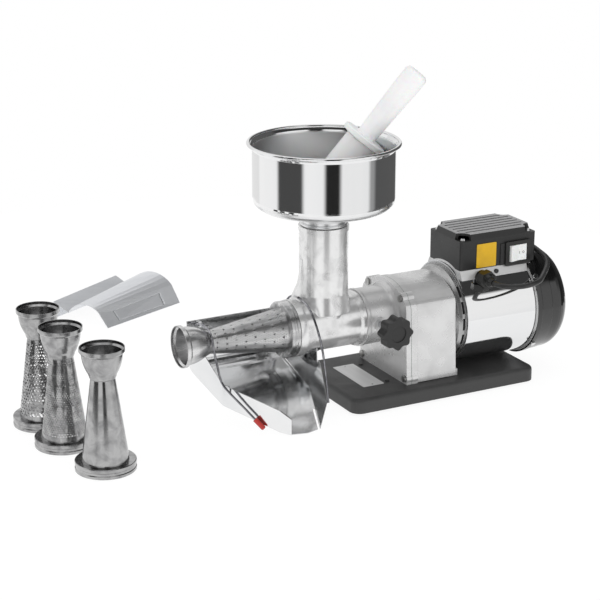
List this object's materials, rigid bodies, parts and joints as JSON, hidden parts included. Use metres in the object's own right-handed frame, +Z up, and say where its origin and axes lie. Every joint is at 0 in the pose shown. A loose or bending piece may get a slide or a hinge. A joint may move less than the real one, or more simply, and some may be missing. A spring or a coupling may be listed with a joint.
{
  "type": "electric tomato press",
  "caption": "Electric tomato press: a geared motor turns a screw in a strainer cone fed from a hopper, with a drip tray, pestle, spare cones and splash guard.",
  "frame": {"origin": "on the floor under the middle of the box that the object fits, lead left out", "axes": "+X along the press screw from the cone mouth to the motor, +Y to the rear, +Z up"},
  "size_m": [0.8278, 0.7596, 0.4861],
  "materials": {
    "black_paint": "satin black paint",
    "rubber": "matt",
    "zinc_steel": "zinc plated",
    "black_plastic": "fine grained",
    "cast_aluminium": "satin casting",
    "gasket_paper": "pressed fibre",
    "bearing_steel": "ground",
    "gear_steel": "machined",
    "bronze": "sintered bronze",
    "lamination": "stacked sheet",
    "copper": "enamelled wire",
    "polished_steel": "mirror polished sheet",
    "tinned_iron": "tinned casting",
    "tinned_sheet": "tinned sheet",
    "spring_wire": "drawn wire",
    "guard_sheet": "satin sheet",
    "red_plastic": "glossy",
    "white_rocker": "glossy",
    "capacitor_can": "smooth",
    "white_plastic": "food plastic"
  },
  "bodies": {
    "housing": {"base_plate": "black_paint", "rubber_feet": "rubber", "case_bolts": "zinc_steel", "plate_screws": "black_plastic", "gear_case": "cast_aluminium", "case_gasket": "gasket_paper", "front_cover": "cast_aluminium", "cover_screws": "zinc_steel", "shaft_bearings": "bearing_steel", "shaft_seal": "rubber", "idler_bushes": "bronze", "motor_shield": "cast_aluminium", "motor_shell": "polished_steel", "stator_core": "lamination", "windings": "copper", "rotor_bearings": "bearing_steel", "rear_shield": "cast_aluminium", "fan_cowl": "black_paint", "cowl_screws": "zinc_steel", "box_pedestal": "cast_aluminium", "control_box": "black_plastic", "box_lid": "black_plastic", "lid_screws": "zinc_steel", "run_capacitor": "capacitor_can", "switch_frame": "black_plastic", "cable_gland": "black_plastic", "pedestal_screw": "black_plastic", "power_cord": "rubber", "cord_coil": "rubber", "mains_plug": "black_plastic"},
    "rotor": {"rotor_core": "lamination", "rotor_shaft": "bearing_steel", "cooling_fan": "black_plastic"},
    "idler": {"idler_shaft": "bearing_steel", "idler_wheel": "gear_steel"},
    "press_screw": {"output_shaft": "bearing_steel", "output_wheel": "gear_steel", "auger": "tinned_iron"},
    "press_head": {"press_body": "tinned_iron", "drip_tray": "polished_steel", "hoop_wire": "spring_wire"},
    "bail": {"bail_wire": "spring_wire", "bail_grip": "red_plastic"},
    "strainer": {"strainer_cone": "tinned_sheet"},
    "hopper": {"feed_hopper": "polished_steel"},
    "pestle": {"pestle": "white_plastic"},
    "knob": {"clamp_stud": "bearing_steel", "star_knob": "black_plastic"},
    "rocker": {"switch_rocker": "white_rocker"},
    "plain_cone": {"spare_cone_plain": "tinned_sheet"},
    "fine_cone": {"spare_cone_fine": "tinned_sheet"},
    "coarse_cone": {"spare_cone_coarse": "tinned_sheet"},
    "guard": {"splash_guard": "guard_sheet"}
  },
  "joints": [
    {"name": "rotor_spin", "type": "hinge", "parent": "housing", "child": "rotor", "pos_m": [0.2879, -0.24484, 0.104], "axis": [1, 0, 0], "continuous": true},
    {"name": "idler_spin", "type": "hinge", "parent": "housing", "child": "idler", "pos_m": [0.1779, -0.2191, 0.07847], "axis": [1, 0, 0], "continuous": true},
    {"name": "screw_spin", "type": "hinge", "parent": "housing", "child": "press_screw", "pos_m": [0.1179, -0.24484, 0.1172], "axis": [1, 0, 0], "continuous": true},
    {"name": "head_slide", "type": "slide", "parent": "housing", "child": "press_head", "axis": [-1, 0, 0], "range_m": [0, 0.045]},
    {"name": "strainer_slide", "type": "slide", "parent": "press_head", "child": "strainer", "axis": [-1, 0, 0], "range_m": [0, 0.015]},
    {"name": "bail_swing", "type": "hinge", "parent": "press_head", "child": "bail", "pos_m": [-0.1531, -0.19984, 0.129], "axis": [-1, 0, 0], "range_deg": [0, 70]},
    {"name": "hopper_lift", "type": "slide", "parent": "press_head", "child": "hopper", "axis": [0, 0, 1], "range_m": [0, 0.08]},
    {"name": "pestle_lift", "type": "slide", "parent": "hopper", "child": "pestle", "axis": [0, 0, 1], "range_m": [0, 0.12]},
    {"name": "knob_turn", "type": "hinge", "parent": "housing", "child": "knob", "pos_m": [0.0979, -0.32484, 0.1172], "axis": [0, -1, 0], "range_deg": [0, 1080]},
    {"name": "rocker_tilt", "type": "hinge", "parent": "housing", "child": "rocker", "pos_m": [0.3335, -0.28654, 0.1934], "axis": [0, 0, -1], "range_deg": [0, 14]},
    {"name": "plain_cone_lift", "type": "slide", "parent": "housing", "child": "plain_cone", "axis": [0, 0, 1], "range_m": [0, 0.12]},
    {"name": "fine_cone_lift", "type": "slide", "parent": "housing", "child": "fine_cone", "axis": [0, 0, 1], "range_m": [0, 0.12]},
    {"name": "coarse_cone_lift", "type": "slide", "parent": "housing", "child": "coarse_cone", "axis": [0, 0, 1], "range_m": [0, 0.12]},
    {"name": "guard_lift", "type": "slide", "parent": "housing", "child": "guard", "axis": [0, 0, 1], "range_m": [0, 0.12]}
  ],
  "couplings": [
    {"joint": "idler_spin", "follows": "rotor_spin", "ratio": -0.31818},
    {"joint": "screw_spin", "follows": "rotor_spin", "ratio": 0.092803}
  ]
}
